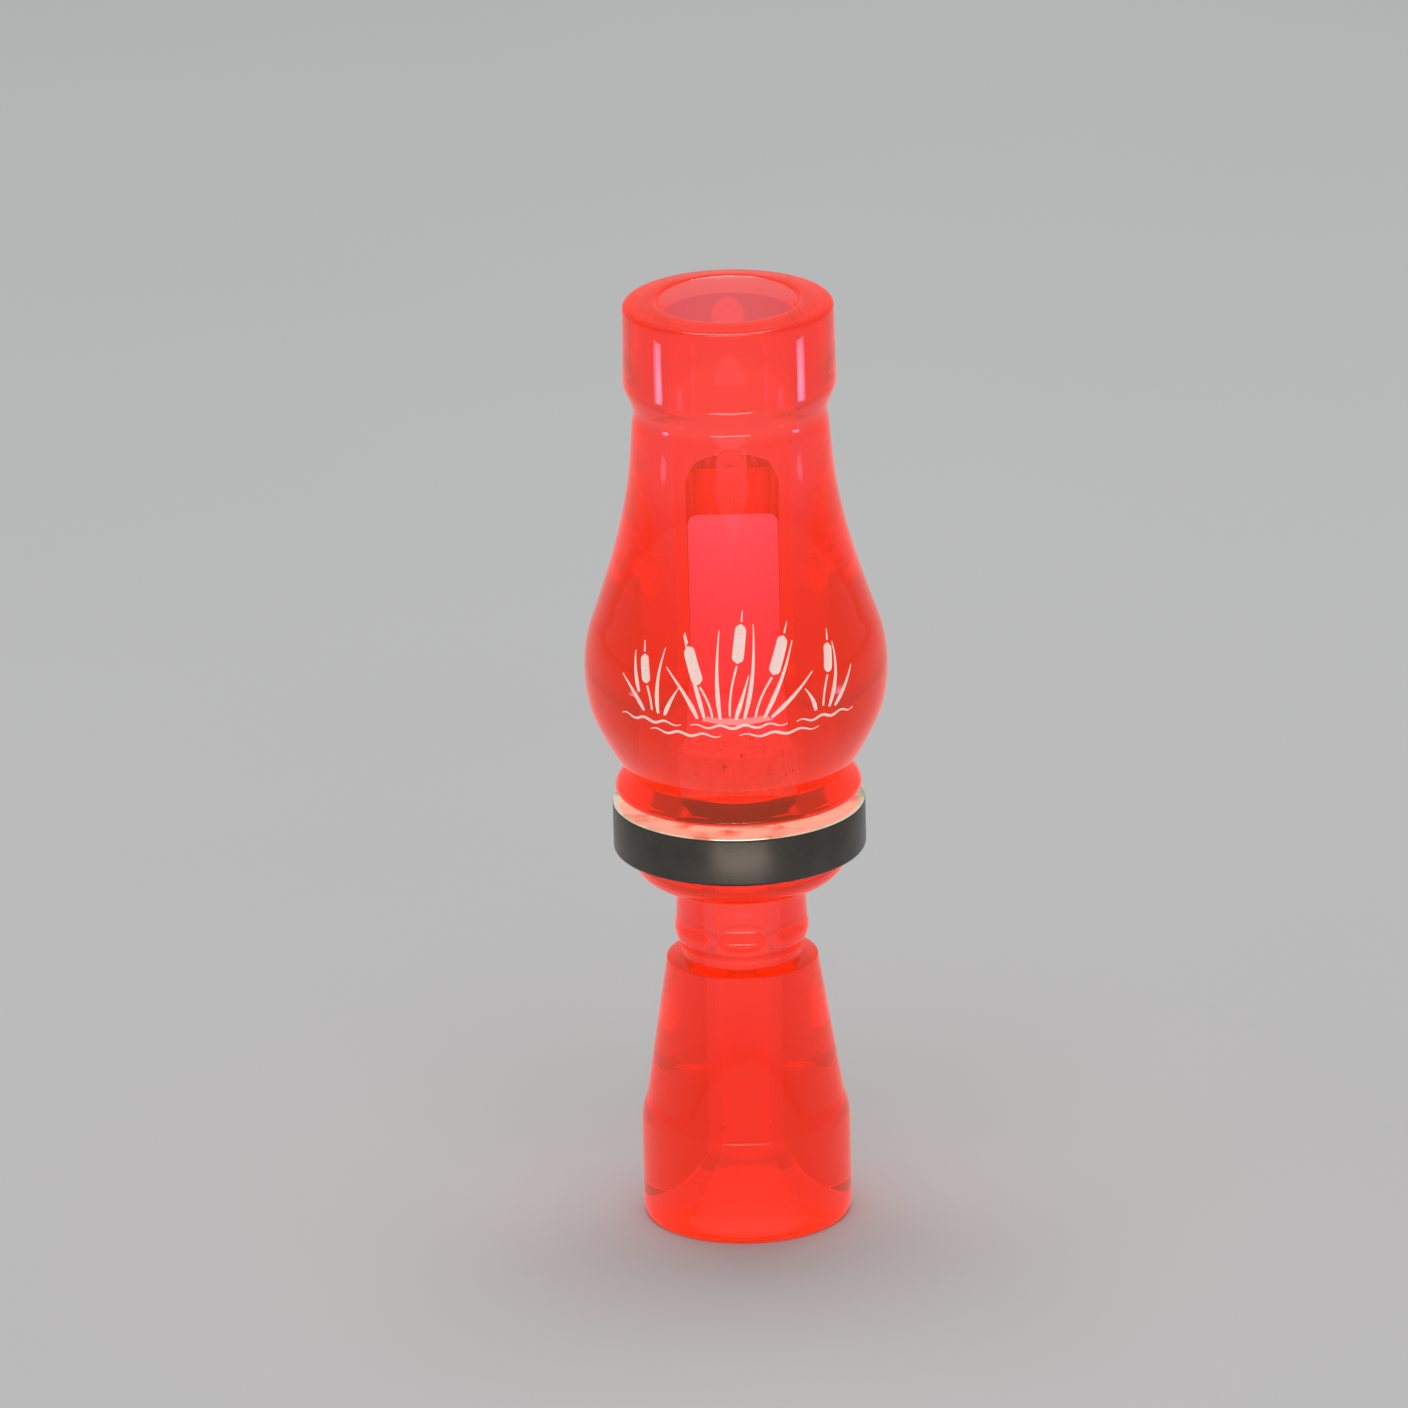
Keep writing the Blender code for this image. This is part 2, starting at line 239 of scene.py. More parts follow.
def turn(outline, closed, sides=SIDES):
    """Spins an outline of (radius, height) points round the Z axis."""
    shape = bmesh.new()
    corners = [shape.verts.new((radius, 0.0, height)) for radius, height in outline]
    edges = [shape.edges.new(pair) for pair in zip(corners, corners[1:])]
    if closed:
        edges.append(shape.edges.new((corners[-1], corners[0])))
    bmesh.ops.spin(
        shape,
        geom=corners + edges,
        cent=(0.0, 0.0, 0.0),
        axis=(0.0, 0.0, 1.0),
        angle=2 * math.pi,
        steps=sides,
        use_merge=True,
    )
    bmesh.ops.remove_doubles(shape, verts=shape.verts, dist=1e-4)
    return shape


def prism(shape, outline, low, high):
    """Adds a closed solid between two copies of an outline: low and high turn its points into places."""
    near = [shape.verts.new(low(point)) for point in outline]
    far = [shape.verts.new(high(point)) for point in outline]
    shape.faces.new(near)
    shape.faces.new(reversed(far))
    for i in range(len(outline)):
        j = (i + 1) % len(outline)
        shape.faces.new((near[j], near[i], far[i], far[j]))
    return shape


def settle(piece):
    """Replaces a piece's mesh by what its modifiers make of it."""
    bpy.context.view_layer.update()
    seen = piece.evaluated_get(bpy.context.evaluated_depsgraph_get())
    mesh = bpy.data.meshes.new_from_object(seen)
    piece.modifiers.clear()
    piece.data = mesh


def carve(piece, tools, use_self=False):
    """Cuts each tool out of a piece, passes on the tools' materials, and removes them."""
    for tool in tools:
        cut = piece.modifiers.new(tool.name, "BOOLEAN")
        cut.solver = "EXACT"
        cut.use_self = use_self
        cut.material_mode = "TRANSFER"
        cut.object = tool
    settle(piece)
    for tool in tools:
        bpy.data.objects.remove(tool, do_unlink=True)


def mark_faces(piece, name, chosen):
    """Leaves a mark on the chosen faces that a material can read: 1 there and 0 elsewhere."""
    mark = piece.data.attributes.new(name, "FLOAT", "FACE")
    for face, value in zip(piece.data.polygons, mark.data):
        value.value = float(chosen(face))


def smooth_shading(piece, angle=30.0):
    """Smooth shading, with edges kept sharp that turn by more than an angle in degrees."""
    piece.data.shade_smooth()
    piece.data.set_sharp_from_angle(angle=math.radians(angle))


def stand_for(piece, node, body):
    """The piece is shown in place of a CAD node and moves with its body."""
    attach(piece, body)
    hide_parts(node)
    return piece


# Materials ------------------------------------------------------------------------------------


def start_material(name):
    """A new material, with its node tree and its Principled shader."""
    material = bpy.data.materials.new(name)
    material.use_nodes = True
    tree = material.node_tree
    return material, tree, tree.nodes["Principled BSDF"]


def noise_at(tree, scale, detail, stretch=(1.0, 1.0, 1.0), roughness=0.5):
    """Noise in the object's own space, with scale in cells a metre and a stretch for each axis."""
    place = tree.nodes.new("ShaderNodeTexCoord")
    mapping = tree.nodes.new("ShaderNodeMapping")
    mapping.inputs["Scale"].default_value = stretch
    texture = tree.nodes.new("ShaderNodeTexNoise")
    texture.inputs["Scale"].default_value = scale
    texture.inputs["Detail"].default_value = detail
    texture.inputs["Roughness"].default_value = roughness
    tree.links.new(place.outputs["Object"], mapping.inputs["Vector"])
    tree.links.new(mapping.outputs["Vector"], texture.inputs["Vector"])
    return texture.outputs["Fac"]


def ramp(tree, value, stops):
    """A colour ramp over a value, from (position, colour) stops."""
    node = tree.nodes.new("ShaderNodeValToRGB")
    elements = node.color_ramp.elements
    while len(elements) < len(stops):
        elements.new(0.5)
    for element, (position, colour) in zip(elements, stops):
        element.position = position
        element.color = (*colour, 1.0)
    tree.links.new(value, node.inputs["Fac"])
    return node.outputs["Color"]


def spread(tree, value, low, high):
    """Maps a value that runs from 0 to 1 onto low to high."""
    node = tree.nodes.new("ShaderNodeMapRange")
    node.inputs["To Min"].default_value = low
    node.inputs["To Max"].default_value = high
    tree.links.new(value, node.inputs["Value"])
    return node.outputs["Result"]


def bump(tree, shader, height, strength, distance):
    """Small relief from a height that runs from 0 to 1, with its depth in metres."""
    node = tree.nodes.new("ShaderNodeBump")
    node.inputs["Strength"].default_value = strength
    node.inputs["Distance"].default_value = distance
    tree.links.new(height, node.inputs["Height"])
    tree.links.new(node.outputs["Normal"], shader.inputs["Normal"])


def blended(tree, share, first, second):
    """A mix of two colours or colour outputs: the first where share is 0, the second where it is 1."""
    node = tree.nodes.new("ShaderNodeMix")
    node.data_type = "RGBA"
    tree.links.new(share, node.inputs["Factor"])
    for socket, value in ((node.inputs["A"], first), (node.inputs["B"], second)):
        if isinstance(value, tuple):
            socket.default_value = (*value, 1.0)
        else:
            tree.links.new(value, socket)
    return node.outputs["Result"]


def marked(tree, name):
    """The value of a mark that mark_faces() left on the mesh."""
    node = tree.nodes.new("ShaderNodeAttribute")
    node.attribute_name = name
    return node.outputs["Fac"]


def acrylic(name):
    """Clear fluorescent acrylic: glassy and tinted by its depth, with a painted glow for its fluorescence
    that is strongest on its outer faces and dimmer on the faces marked inner.

    The faces marked as sanded are left by fine paper along the board, with lengthwise scratches.
    """
    material, tree, shader = start_material(name)
    inner = marked(tree, "inner")
    sanded = marked(tree, "sanded")
    cloud = noise_at(tree, 60.0, 3.0)
    lines = noise_at(tree, 4200.0, 3.0, (1.0, 1.0, 0.05))
    wear = noise_at(tree, 900.0, 4.0, (1.0, 1.0, 0.25))
    clear_tint = ramp(tree, cloud, [(0.3, (1.0, 0.75, 0.68)), (0.7, (1.0, 0.81, 0.73))])
    sanded_tint = ramp(tree, lines, [(0.38, (0.72, 0.14, 0.16)), (0.62, (1.0, 0.74, 0.78))])
    tree.links.new(blended(tree, sanded, clear_tint, sanded_tint), shader.inputs["Base Color"])
    clear_wear = ramp(tree, wear, [(0.0, (0.0, 0.0, 0.0)), (1.0, (0.05, 0.05, 0.05))])
    sanded_wear = ramp(tree, lines, [(0.3, (0.30, 0.30, 0.30)), (0.7, (0.50, 0.50, 0.50))])
    tree.links.new(blended(tree, sanded, clear_wear, sanded_wear), shader.inputs["Roughness"])
    # Painted glow: an emission that stands in for the acrylic's fluorescence, bright orange-red on the outer
    # faces and dim on the inner ones.
    painted_glow = blended(tree, inner, (1.0, 0.10, 0.010), (0.28, 0.03, 0.004))
    tree.links.new(painted_glow, shader.inputs["Emission Color"])
    shader.inputs["Emission Strength"].default_value = 0.21
    shader.inputs["Transmission Weight"].default_value = 1.0
    shader.inputs["IOR"].default_value = 1.49
    bump(tree, shader, noise_at(tree, 350.0, 2.0), 0.03, 0.0002)
    depth = tree.nodes.new("ShaderNodeVolumeAbsorption")
    depth.inputs["Color"].default_value = (0.975, 0.03, 0.23, 1.0)
    depth.inputs["Density"].default_value = 240.0
    tree.links.new(depth.outputs["Volume"], tree.nodes["Material Output"].inputs["Volume"])
    return material


def frosted(name):
    """The white, ground floor of an engraved line, with a painted pale glow."""
    material, tree, shader = start_material(name)
    grain = noise_at(tree, 9000.0, 4.0)
    tint = ramp(tree, grain, [(0.3, (0.95, 0.62, 0.56)), (0.6, (1.0, 0.90, 0.86))])
    tree.links.new(tint, shader.inputs["Base Color"])
    tree.links.new(spread(tree, grain, 0.5, 0.8), shader.inputs["Roughness"])
    bump(tree, shader, grain, 0.5, 0.00006)
    # Painted glow: the engraved floor gives off a pale pink light of its own.
    shader.inputs["Emission Color"].default_value = (1.0, 0.55, 0.48, 1.0)
    shader.inputs["Emission Strength"].default_value = 0.25
    return material


def black_nickel(name, tone, roughness, painted_gleam):
    """Black nickel plate, with faint lines left by turning it and the smudges of handling.

    The gleam is painted light: a weak glow in patches, for the light that a polished face catches in a narrow
    groove.
    """
    material, tree, shader = start_material(name)
    lines = noise_at(tree, 3000.0, 3.0, (0.04, 0.04, 1.0))
    smudge = noise_at(tree, 260.0, 5.0)
    dark = tuple(0.9 * part for part in tone)
    light = tuple(1.1 * part for part in tone)
    tint = ramp(tree, smudge, [(0.35, dark), (0.65, light)])
    tree.links.new(tint, shader.inputs["Base Color"])
    shader.inputs["Metallic"].default_value = 1.0
    tree.links.new(spread(tree, smudge, roughness[0], roughness[1]), shader.inputs["Roughness"])
    # Painted highlight: patches of emission between a dark shade and a light tone of the plate.
    painted_glow_patches = noise_at(tree, 220.0, 2.0)
    shade = tuple(part * part * 0.5 for part in tone)
    tree.links.new(ramp(tree, painted_glow_patches, [(0.38, shade), (0.55, light)]), shader.inputs["Emission Color"])
    shader.inputs["Emission Strength"].default_value = painted_gleam
    bump(tree, shader, lines, 0.15, 0.00004)
    return material


def reed_film(name):
    """Frosted polyester film with a faint grain along it, and a painted pink glow. The real film is slightly
    see-through; this shader lets no light through.
    """
    material, tree, shader = start_material(name)
    grain = noise_at(tree, 2600.0, 4.0, (1.0, 1.0, 0.12))
    tint = ramp(tree, grain, [(0.3, (0.86, 0.68, 0.79)), (0.7, (0.95, 0.79, 0.90))])
    tree.links.new(tint, shader.inputs["Base Color"])
    tree.links.new(spread(tree, grain, 0.35, 0.55), shader.inputs["Roughness"])
    shader.inputs["IOR"].default_value = 1.6
    # Painted glow: the film gives off a pink light of its own.
    shader.inputs["Emission Color"].default_value = (1.0, 0.40, 0.68, 1.0)
    shader.inputs["Emission Strength"].default_value = 0.42
    bump(tree, shader, noise_at(tree, 12000.0, 2.0), 0.35, 0.00004)
    return material


def cork(name):
    """Cut cork: pale brown, with darker cell walls and pits, and a painted glow in its own colours."""
    material, tree, shader = start_material(name)
    cells = noise_at(tree, 1500.0, 5.0, (1.0, 1.0, 0.6), 0.65)
    tint = ramp(
        tree,
        cells,
        [(0.31, (0.16, 0.09, 0.06)), (0.36, (0.76, 0.54, 0.42)), (0.62, (0.90, 0.71, 0.58))],
    )
    tree.links.new(tint, shader.inputs["Base Color"])
    tree.links.new(spread(tree, cells, 0.95, 0.75), shader.inputs["Roughness"])
    # Painted glow: the cork's colours are also given off as emission.
    tree.links.new(tint, shader.inputs["Emission Color"])
    shader.inputs["Emission Strength"].default_value = 0.22
    bump(tree, shader, cells, 0.8, 0.0002)
    return material


def rubber(name):
    """Black nitrile rubber, with the bloom and fine grain of a moulded seal."""
    material, tree, shader = start_material(name)
    grain = noise_at(tree, 4000.0, 3.0)
    tint = ramp(tree, grain, [(0.3, (0.012, 0.012, 0.012)), (0.7, (0.035, 0.034, 0.033))])
    tree.links.new(tint, shader.inputs["Base Color"])
    tree.links.new(spread(tree, grain, 0.4, 0.6), shader.inputs["Roughness"])
    bump(tree, shader, grain, 0.3, 0.00005)
    return material


def pale_floor(name):
    """A matt, pale grey studio floor."""
    material, tree, shader = start_material(name)
    mottle = noise_at(tree, 3.0, 3.0)
    tint = ramp(tree, mottle, [(0.3, (0.60, 0.60, 0.60)), (0.7, (0.63, 0.63, 0.63))])
    tree.links.new(tint, shader.inputs["Base Color"])
    tree.links.new(spread(tree, mottle, 0.75, 0.85), shader.inputs["Roughness"])
    shader.inputs["Specular IOR Level"].default_value = 0.1
    return material


# Engraving: cattails and leaves that rise from rippled water -----------------------------------------


def curve_between(start, bend, end, steps):
    """Points on a curve from start to end that leans towards bend on its way."""
    points = []
    for i in range(steps + 1):
        t = i / steps
        near, middle, far = (1 - t) ** 2, 2 * t * (1 - t), t * t
        points.append(tuple(near * a + middle * b + far * c for a, b, c in zip(start, bend, end)))
    return points


def leaf_line(foot, tip, sway):
    """A blade that is widest below its middle and ends in a point."""
    bend = (foot[0] + sway, (foot[1] + tip[1]) / 2)
    path = curve_between(foot, bend, tip, 16)
    widths = [0.06 + 0.3 * (1 - i / 16) * min(1.0, 0.35 + i / 6) for i in range(17)]
    return path, widths


def stem_line(foot, tip, sway):
    """A stem of even width."""
    path = curve_between(foot, (foot[0] + sway, (foot[1] + tip[1]) / 2), tip, 14)
    return path, [0.13] * 15


def head_line(low, high, half_width):
    """A cattail's seed head: a long pad with round ends."""
    steps = 14
    path = [tuple(a + (b - a) * i / steps for a, b in zip(low, high)) for i in range(steps + 1)]
    reach = math.dist(low, high) / 2
    widths = []
    for i in range(steps + 1):
        from_end = min(i, steps - i) / steps * 2 * reach
        part = min(from_end / half_width, 1.0)
        widths.append(max(half_width * math.sqrt(1 - (1 - part) ** 2), 0.08))
    return path, widths


def ripple_line(left, right, height, waves):
    """A wavy water line that thins out at both ends."""
    steps = 8 * waves
    path = []
    widths = []
    for i in range(steps + 1):
        t = i / steps
        path.append((left + (right - left) * t, height + RIPPLE_HEIGHT * math.sin(2 * math.pi * waves * t)))
        widths.append(0.05 + 0.13 * math.sin(math.pi * t))
    return path, widths


def cattail(foot, neck, sway, head, half_width):
    """A stem, the seed head on it and the spike above, with small breaks between them."""
    lean = (neck[0] - foot[0]) / (neck[1] - foot[1])

    def above(spot, rise):
        return (spot[0] + lean * rise, spot[1] + rise)

    low = above(neck, SPIKE_GAP)
    high = above(low, head)
    spike_foot = above(high, SPIKE_GAP)
    spike_tip = above(spike_foot, SPIKE_LENGTH)
    return [
        stem_line(foot, neck, sway),
        head_line(low, high, half_width),
        (curve_between(spike_foot, spike_foot, spike_tip, 4), [0.12, 0.12, 0.11, 0.09, 0.05]),
    ]


def engraved_lines():
    """Every line of the engraving, as its path and its half width at each point of the path."""
    lines = []
    lines += cattail((-0.9, 72.9), (0.1, 79.2), -0.1, 4.6, 0.8)
    lines += cattail((-3.1, 72.7), (-4.7, 76.6), -0.2, 4.4, 0.75)
    lines += cattail((2.3, 72.8), (4.6, 77.6), 0.4, 4.4, 0.75)
    lines += cattail((-11.2, 72.9), (-12.0, 75.9), -0.1, 3.4, 0.62)
    lines += cattail((11.4, 72.9), (12.4, 76.7), 0.1, 3.4, 0.62)
    leaves = [
        ((-5.0, 72.5), (-9.4, 78.6), -1.2),
        ((-4.1, 72.6), (-7.4, 82.6), -1.3),
        ((-2.1, 72.6), (-2.3, 83.4), -0.7),
        ((-0.2, 72.5), (1.6, 78.0), 0.9),
        ((0.9, 72.6), (2.6, 84.0), 1.6),
        ((3.4, 72.6), (8.0, 81.6), 2.4),
        ((4.3, 72.5), (10.2, 77.6), 3.2),
        ((-12.4, 72.6), (-16.2, 76.6), -1.2),
        ((-13.2, 74.9), (-14.6, 79.8), -0.9),
        ((-10.3, 72.6), (-9.9, 80.8), -0.5),
        ((-9.4, 72.5), (-7.5, 76.2), 0.7),
        ((10.3, 72.5), (8.9, 75.6), -0.2),
        ((12.3, 72.6), (14.2, 80.4), 1.8),
        ((13.2, 72.5), (16.6, 77.0), 2.0),
    ]
    for foot, tip, sway in leaves:
        lines.append(leaf_line(foot, tip, sway))
    lines.append(ripple_line(-16.2, -7.2, 71.5, 3))
    lines.append(ripple_line(-6.0, 6.4, 71.5, 4))
    lines.append(ripple_line(7.6, 16.4, 71.5, 3))
    lines.append(ripple_line(-11.6, -2.0, 70.3, 3))
    lines.append(ripple_line(0.2, 10.8, 70.3, 3))
    return lines


def radius_finder(outline):
    """A function that gives the barrel's outer radius at a height on its swelling body."""
    spots = sorted((z, r) for r, z in outline if r > BODY_LEAST_RADIUS and BODY_LOW_Z < z < BODY_HIGH_Z)

    def radius(height):
        for (z0, r0), (z1, r1) in zip(spots, spots[1:]):
            if z0 <= height <= z1:
                return r0 + (r1 - r0) * (height - z0) / max(z1 - z0, 1e-6)
        return spots[-1][1]

    return radius


def engraving_tool(outline, material):
    """One closed ribbon for each engraved line, sunk into the barrel's curved surface."""
    radius = radius_finder(outline)
    shape = bmesh.new()

    def corner(across, height, lift):
        turned = across / ENGRAVING_ROUND
        reach = radius(height) + lift
        return shape.verts.new((reach * math.sin(turned), -reach * math.cos(turned), height))

    for path, widths in engraved_lines():
        rungs = []
        for i, (across, height) in enumerate(path):
            behind = path[max(i - 1, 0)]
            ahead = path[min(i + 1, len(path) - 1)]
            way = Vector((ahead[0] - behind[0], ahead[1] - behind[1])).normalized()
            side = Vector((way.y, -way.x)) * widths[i]
            right = (across + side.x, height + side.y)
            left = (across - side.x, height - side.y)
            rungs.append(
                (
                    corner(*left, -ENGRAVING_DEPTH),
                    corner(*right, -ENGRAVING_DEPTH),
                    corner(*right, ENGRAVING_REACH),
                    corner(*left, ENGRAVING_REACH),
                )
            )
        for near, far in zip(rungs, rungs[1:]):
            for i in range(4):
                j = (i + 1) % 4
                shape.faces.new((near[i], near[j], far[j], far[i]))
        shape.faces.new(reversed(rungs[0]))
        shape.faces.new(rungs[-1])
    return tool_from("engraving_tool", shape, material)


# Pieces ---------------------------------------------------------------------------------------


def reed_line(z):
    """Depth of the straight line that the tone board's face follows under the cork."""
    return FACE_OFFSET + FACE_TILT * (z - CLAMP_Z)


def board_face(z):
    """Depth of the tone board's face, which curves away from the reed above the cork."""
    free = max(z - CLAMP_Z, 0.0)
    return reed_line(z) + free**2 / (2 * FACE_CURVE_RADIUS)


def lip(depth):
    """Height of the sloping rear wall of the wedge slot at a depth in front of the board's face."""
    return SLOT_REAR_Z + LIP_SLOPE * (reed_line(SLOT_REAR_Z) - depth)


def make_barrel(clear, engraved):
    """The turned barrel, engraved on its front."""
    outline, closed = outline_of("barrel")
    fine = refine(outline, closed)
    barrel = new_object("barrel_clear", turn(fine, closed))
    barrel.data.materials.append(clear)
    carve(barrel, [engraving_tool(fine, engraved)], use_self=True)
    bore = min(radius for radius, height in outline) + BORE_MARGIN
    mark_faces(barrel, "inner", lambda face: math.hypot(face.center.x, face.center.y) < bore * MM)
    smooth_shading(barrel)
    return stand_for(barrel, "barrel", "barrel")


def make_band(side, top):
    """The ring, satin on its side and polished on its top face; the top face's light cream tone and glow are
    a painted highlight.
    """
    outline, closed = outline_of("barrel_band")
    band = new_object("band_ring", turn(refine(outline, closed), closed))
    band.data.materials.append(side)
    band.data.materials.append(top)
    for face in band.data.polygons:
        face.material_index = int(face.normal.z > 0.5)
    smooth_shading(band)
    return stand_for(band, "barrel_band", "barrel")


def make_seal(node, material):
    """An O-ring, flattened a little where it fits the bore."""
    low, high = (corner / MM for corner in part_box(node))
    middle = (low.z + high.z) / 2
    section = (high.z - low.z) / 2
    bore = min(radius for radius, height in outline_of("barrel")[0])
    outside = bore - SEAL_SQUEEZE
    inside = high.x - 2 * section - SEAL_LIFT
    outline = arc(((inside + outside) / 2, middle), ((outside - inside) / 2, section), 0, 360, 40)[:-1]
    seal = new_object(node + "_ring", turn(outline, True, SEAL_SIDES))
    seal.data.materials.append(material)
    smooth_shading(seal, 60.0)
    return stand_for(seal, node, "seals")


def make_reed(material):
    """A thin straight strip with a rounded tip, on the line that the tone board's face follows."""
    low, high = (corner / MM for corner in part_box("reed"))
    rear_x = high.x - REED_REAR_CORNER
    tip_x = high.x - REED_TIP_CORNER
    right = arc((rear_x, low.z + REED_REAR_CORNER), (REED_REAR_CORNER, REED_REAR_CORNER), -90, 0, 8)
    side = [(high.x, low.z + (high.z - low.z) * i / 24) for i in range(2, 23)]
    right += side + arc((tip_x, high.z - REED_TIP_CORNER), (REED_TIP_CORNER, REED_TIP_CORNER), 0, 90, 14)
    outline = right + [(-x, z) for x, z in reversed(right)]
    shape = prism(
        bmesh.new(),
        outline,
        lambda p: (p[0], reed_line(p[1]) - REED_GAP - REED_THICKNESS, p[1]),
        lambda p: (p[0], reed_line(p[1]) - REED_GAP, p[1]),
    )
    reed = new_object("reed_strip", shape)
    reed.data.materials.append(material)
    edge = reed.modifiers.new("edge", "BEVEL")
    edge.width = REED_EDGE * MM
    edge.segments = 2
    edge.angle_limit = math.radians(60)
    settle(reed)
    smooth_shading(reed, 40.0)
    return stand_for(reed, "reed", "reed")


def make_cork(material):
    """The cut wedge of cork, with the pits and crumbled edges that cork has."""
    shape = bmesh.new()
    shape.from_mesh(NODES["cork_wedge"].data)
    shape.transform(Matrix.Scale(1 / MM, 4))
    wedge = new_object("cork_pitted", shape)
    wedge.data.materials.append(material)
    grain = wedge.modifiers.new("grain", "REMESH")
    grain.mode = "VOXEL"
    grain.voxel_size = CORK_VOXEL * MM
    settle(wedge)
    moves = []
    for vertex in wedge.data.vertices:
        place = vertex.co / MM
        wave = noise.noise(place * 0.9) * 0.5 + 0.5
        pit = max(noise.noise(place * 2.3 + Vector((7.0, 3.0, 1.0))) - CORK_PIT_LEVEL, 0.0)
        inward = CORK_WAVE * wave + CORK_PIT_DEPTH * pit
        moves.append(vertex.co - vertex.normal * (inward * MM))
    for vertex, place in zip(wedge.data.vertices, moves):
        vertex.co = place
    wedge.data.materials.clear()
    wedge.data.materials.append(material)
    wedge.data.shade_smooth()
    return stand_for(wedge, "cork_wedge", "insert")


def tool_from(name, shape, material):
    """A cutting tool, whose material is left on what it cuts."""
    tool = new_object(name, shape)
    tool.data.materials.append(material)
    return tool


def face_tool(reach, top, material):
    """Leaves the tone board's curved face and the slot that the cork wedge is pushed into."""
    heights = [SLOT_REAR_Z] + [CLAMP_Z + (top - CLAMP_Z) * i / 48 for i in range(49)]
    outline = [(board_face(z), z) for z in heights]
    outline += [(-reach, top), (-reach, lip(-reach))]
    shape = prism(bmesh.new(), outline, lambda p: (-reach, p[0], p[1]), lambda p: (reach, p[0], p[1]))
    return tool_from("face_tool", shape, material)


def plan_tool(reach, board_top, material):
    """Trims the tone board to straight sides and rounded top corners."""
    corner = (BOARD_CORNER, BOARD_CORNER)
    centre = (BOARD_HALF_WIDTH - BOARD_CORNER, board_top - BOARD_CORNER + 0.15)
    right = [(BOARD_HALF_WIDTH, BOARD_SIDES_Z)] + arc(centre, corner, 0, 84, 16)
    left = [(-x, z) for x, z in reversed(right)]
    top = board_top + 2.0
    outer = [(-reach, BOARD_SIDES_Z), (-reach, top), (reach, top), (reach, BOARD_SIDES_Z)]
    outline = right + left + outer
    shape = prism(bmesh.new(), outline, lambda p: (p[0], -reach, p[1]), lambda p: (p[0], reach, p[1]))
    return tool_from("plan_tool", shape, material)


def channel_tool(material):
    """The rounded channel that carries the sound from under the reed into the exit bore."""
    rows = []
    shape = bmesh.new()
    climb = CHANNEL_TOP_Z - CHANNEL_LEVEL_Z
    heights = [CHANNEL_LOW_Z, SLOT_REAR_Z]
    heights += [CHANNEL_LEVEL_Z + climb * i / 30 for i in range(31)]
    end_floor = board_face(CHANNEL_TOP_Z) + CHANNEL_END_DEPTH
    for z in heights:
        rise = max(z - CHANNEL_LEVEL_Z, 0.0) / climb
        floor = CHANNEL_FLOOR + (end_floor - CHANNEL_FLOOR) * rise**2
        rim = board_face(z) - CHANNEL_OVERCUT
        section = arc((0.0, rim), (CHANNEL_HALF_WIDTH, floor - rim), 0, 180, 28)
        rows.append([shape.verts.new((x, y, z)) for x, y in section])
    for lower, upper in zip(rows, rows[1:]):
        for i in range(len(lower)):
            j = (i + 1) % len(lower)
            shape.faces.new((lower[i], lower[j], upper[j], upper[i]))
    shape.faces.new(reversed(rows[0]))
    shape.faces.new(rows[-1])
    return tool_from("channel_tool", shape, material)


def make_insert(clear):
    """The turned insert, with its tone board, wedge slot and tone channel cut into it."""
    outline, closed = outline_of("insert")
    board_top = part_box("insert")[1].z / MM
    tenon = outline[-1][0]
    outline += [(tenon, board_top - BOARD_TIP_CHAMFER), (tenon - BOARD_TIP_CHAMFER, board_top)]
    outline.append((0.0, board_top))
    insert = new_object("insert_clear", turn(refine(outline, closed), closed))
    insert.data.materials.append(clear)
    rough = bpy.data.materials.new("rough")
    reach = tenon + 1.0
    tools = [
        face_tool(reach, board_top + 1.0, rough),
        plan_tool(reach, board_top, clear),
        channel_tool(clear),
    ]
    carve(insert, tools)
    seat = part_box("barrel")[0].z
    mark_faces(insert, "sanded", lambda face: face.material_index == 1)
    exit_reach = EXIT_BORE_REACH * MM
    mark_faces(insert, "inner", lambda face: face.center.z > seat or face.center.xy.length < exit_reach)
    for face in insert.data.polygons:
        face.material_index = 0
    insert.data.materials.clear()
    insert.data.materials.append(clear)
    bpy.data.materials.remove(rough)
    smooth_shading(insert)
    return stand_for(insert, "insert", "insert")


def area_light(name, place, aim, size, power, spread_angle=180.0, colour=(1.0, 1.0, 1.0)):
    """A rectangular lamp that the camera doesn't see, with its power in watts and its spread in degrees."""
    data = bpy.data.lights.new(name, "AREA")
    data.shape = "RECTANGLE"
    data.size = size[0] * MM
    data.size_y = size[1] * MM
    data.energy = power
    data.spread = math.radians(spread_angle)
    data.color = colour
    lamp = bpy.data.objects.new(name, data)
    lamp.location = Vector(place) * MM
    lamp.rotation_mode = "QUATERNION"
    lamp.rotation_quaternion = (Vector(aim) - Vector(place)).to_track_quat("-Z", "Y")
    lamp.visible_camera = False
    bpy.context.scene.collection.objects.link(lamp)


def make_lights():
    """Two soft boxes above, a warm card in front, and two panels whose reflections stripe the mouthpiece."""
    for name, side in (("left_panel", -1), ("right_panel", 1)):
        place = (side * PANEL_ACROSS, PANEL_FORWARD, PANEL_Z)
        area_light(name, place, PANEL_AIM, (60, 46), PANEL_POWER, PANEL_SPREAD, LILAC)
    area_light("top_box", (0, 250, 1100), BOX_AIM, (700, 500), 4.6)
    area_light("key_box", (0, -420, 1000), BOX_AIM, (640, 260), 1.4)
    area_light("low_card", (0, -163, 2), (0, -163, 100), (140, 36), 0.1, colour=WARM)


def make_world():
    """Even, dim light from all round."""
    world = bpy.data.worlds.new("studio")
    world.use_nodes = True
    back = world.node_tree.nodes["Background"]
    back.inputs["Color"].default_value = (*WORLD_COLOUR, 1.0)
    back.inputs["Strength"].default_value = WORLD_STRENGTH
    bpy.context.scene.world = world


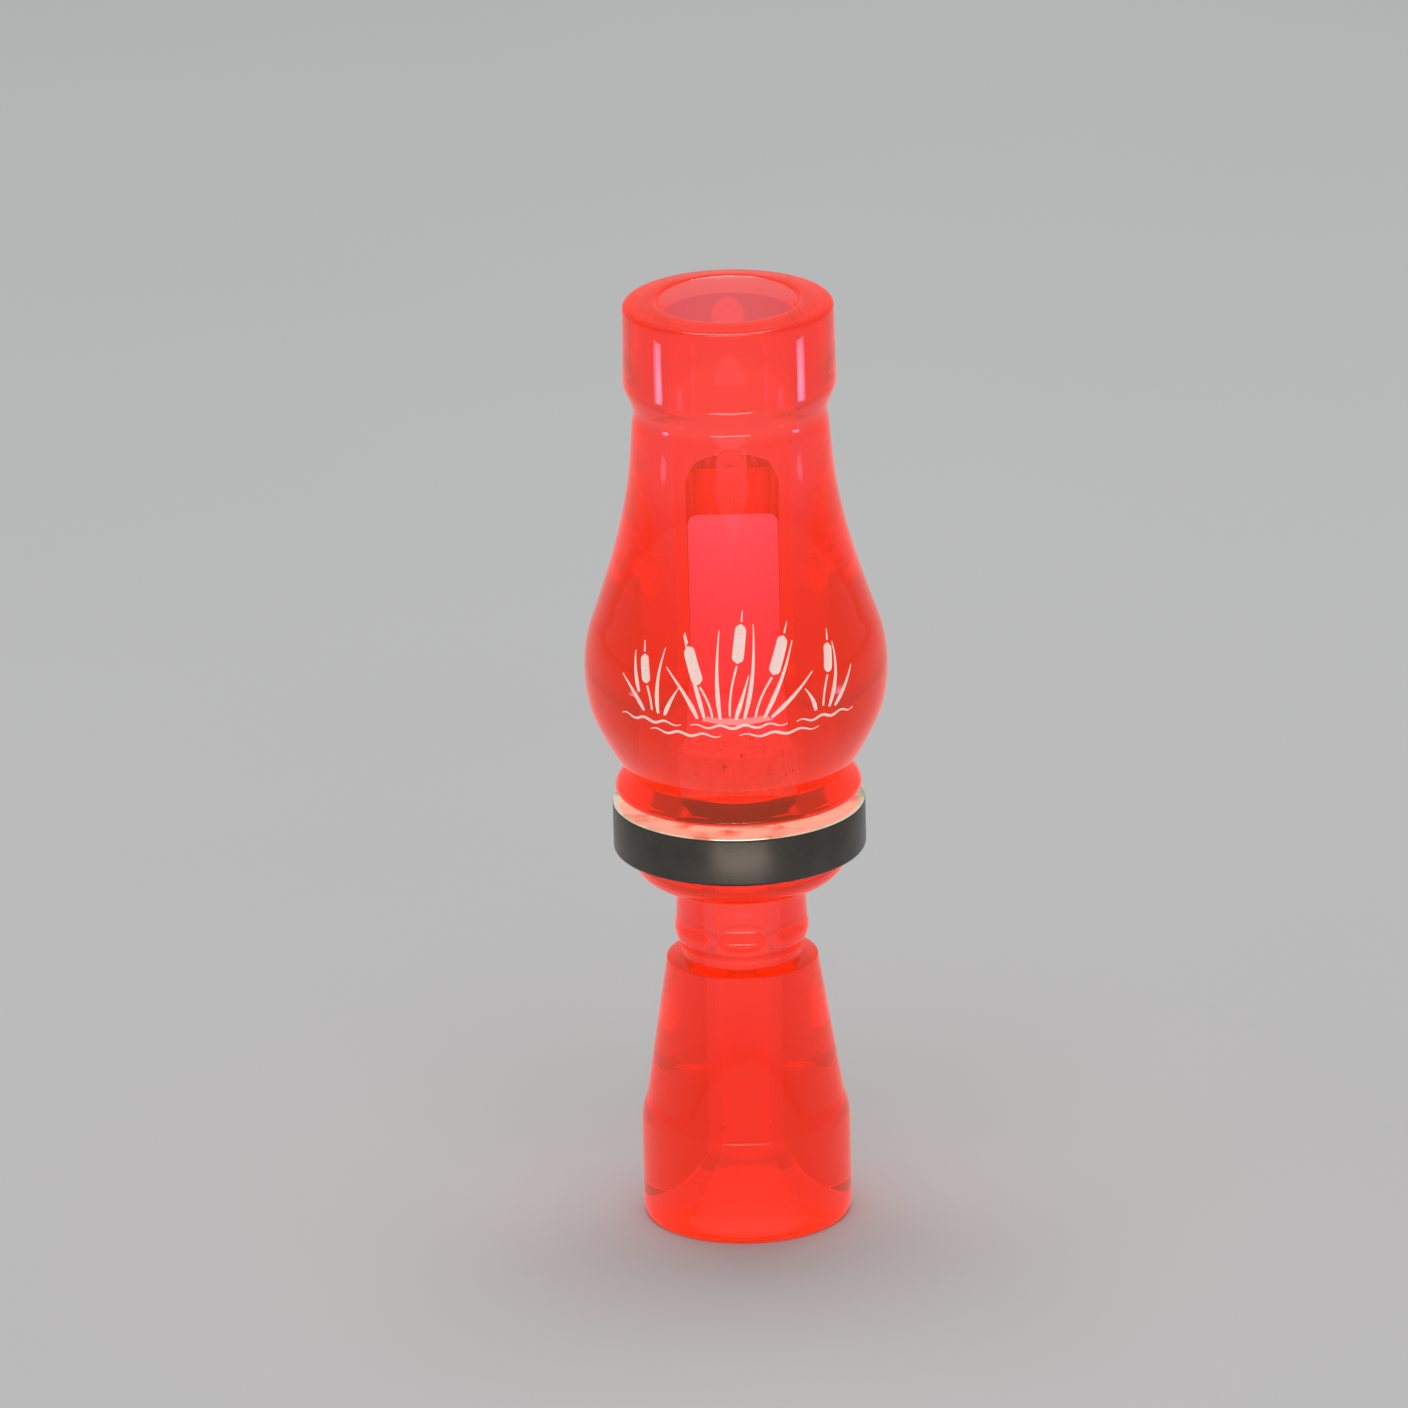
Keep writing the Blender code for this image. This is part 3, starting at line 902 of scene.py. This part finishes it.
def make_floor(material):
    """A wide disc that the call stands on."""
    shape = bmesh.new()
    bmesh.ops.create_circle(shape, cap_ends=True, segments=96, radius=FLOOR_RADIUS)
    floor = new_object("floor", shape)
    if floor.data.polygons[0].normal.z < 0:
        floor.data.flip_normals()
    floor.data.materials.append(material)


def make_camera():
    """The camera, aimed beside the call's middle so that the call stands where it should in the frame."""
    rise = math.radians(CAMERA_ELEVATION)
    back = Vector((0.0, -math.cos(rise), math.sin(rise)))
    data = bpy.data.cameras.new("camera")
    data.sensor_width = CAMERA_SENSOR
    data.lens = CAMERA_LENS
    data.clip_start = 0.1
    data.clip_end = 20.0
    camera = bpy.data.objects.new("camera", data)
    level = (-back).to_track_quat("-Z", "Y").to_matrix()
    roll = Matrix.Rotation(math.radians(-CAMERA_ROLL), 3, "Z")
    rolled = level @ roll
    right, up = rolled.col[0], rolled.col[1]
    target = Vector((0.0, 0.0, CAMERA_AIM_Z))
    place = target + back * CAMERA_DISTANCE
    aim = target + right * CAMERA_AIM_RIGHT + up * CAMERA_AIM_UP
    turned = (aim - place).to_track_quat("-Z", "Y").to_matrix() @ roll
    camera.location = place * MM
    camera.rotation_mode = "QUATERNION"
    camera.rotation_quaternion = turned.to_quaternion()
    bpy.context.scene.collection.objects.link(camera)
    bpy.context.scene.camera = camera


scene = bpy.context.scene
scene.view_settings.view_transform = "Standard"
scene.cycles.max_bounces = 32
scene.cycles.transmission_bounces = 32
scene.cycles.transparent_max_bounces = 16

make_barrel(acrylic("barrel_acrylic"), frosted("engraved"))
make_band(
    black_nickel("nickel_side", (0.105, 0.093, 0.082), (0.26, 0.36), 0.0),
    # Painted highlight: the top face gets a light cream tone and a glow, while the side is near black.
    black_nickel("nickel_top_painted_highlight", (0.78, 0.64, 0.48), (0.05, 0.16), 0.5),
)
make_insert(acrylic("insert_acrylic"))
make_reed(reed_film("reed_film"))
make_cork(cork("cork"))
seal_rubber = rubber("rubber")
make_seal("o_ring_lower", seal_rubber)
make_seal("o_ring_upper", seal_rubber)
make_floor(pale_floor("pale_floor"))
make_world()
make_lights()
make_camera()
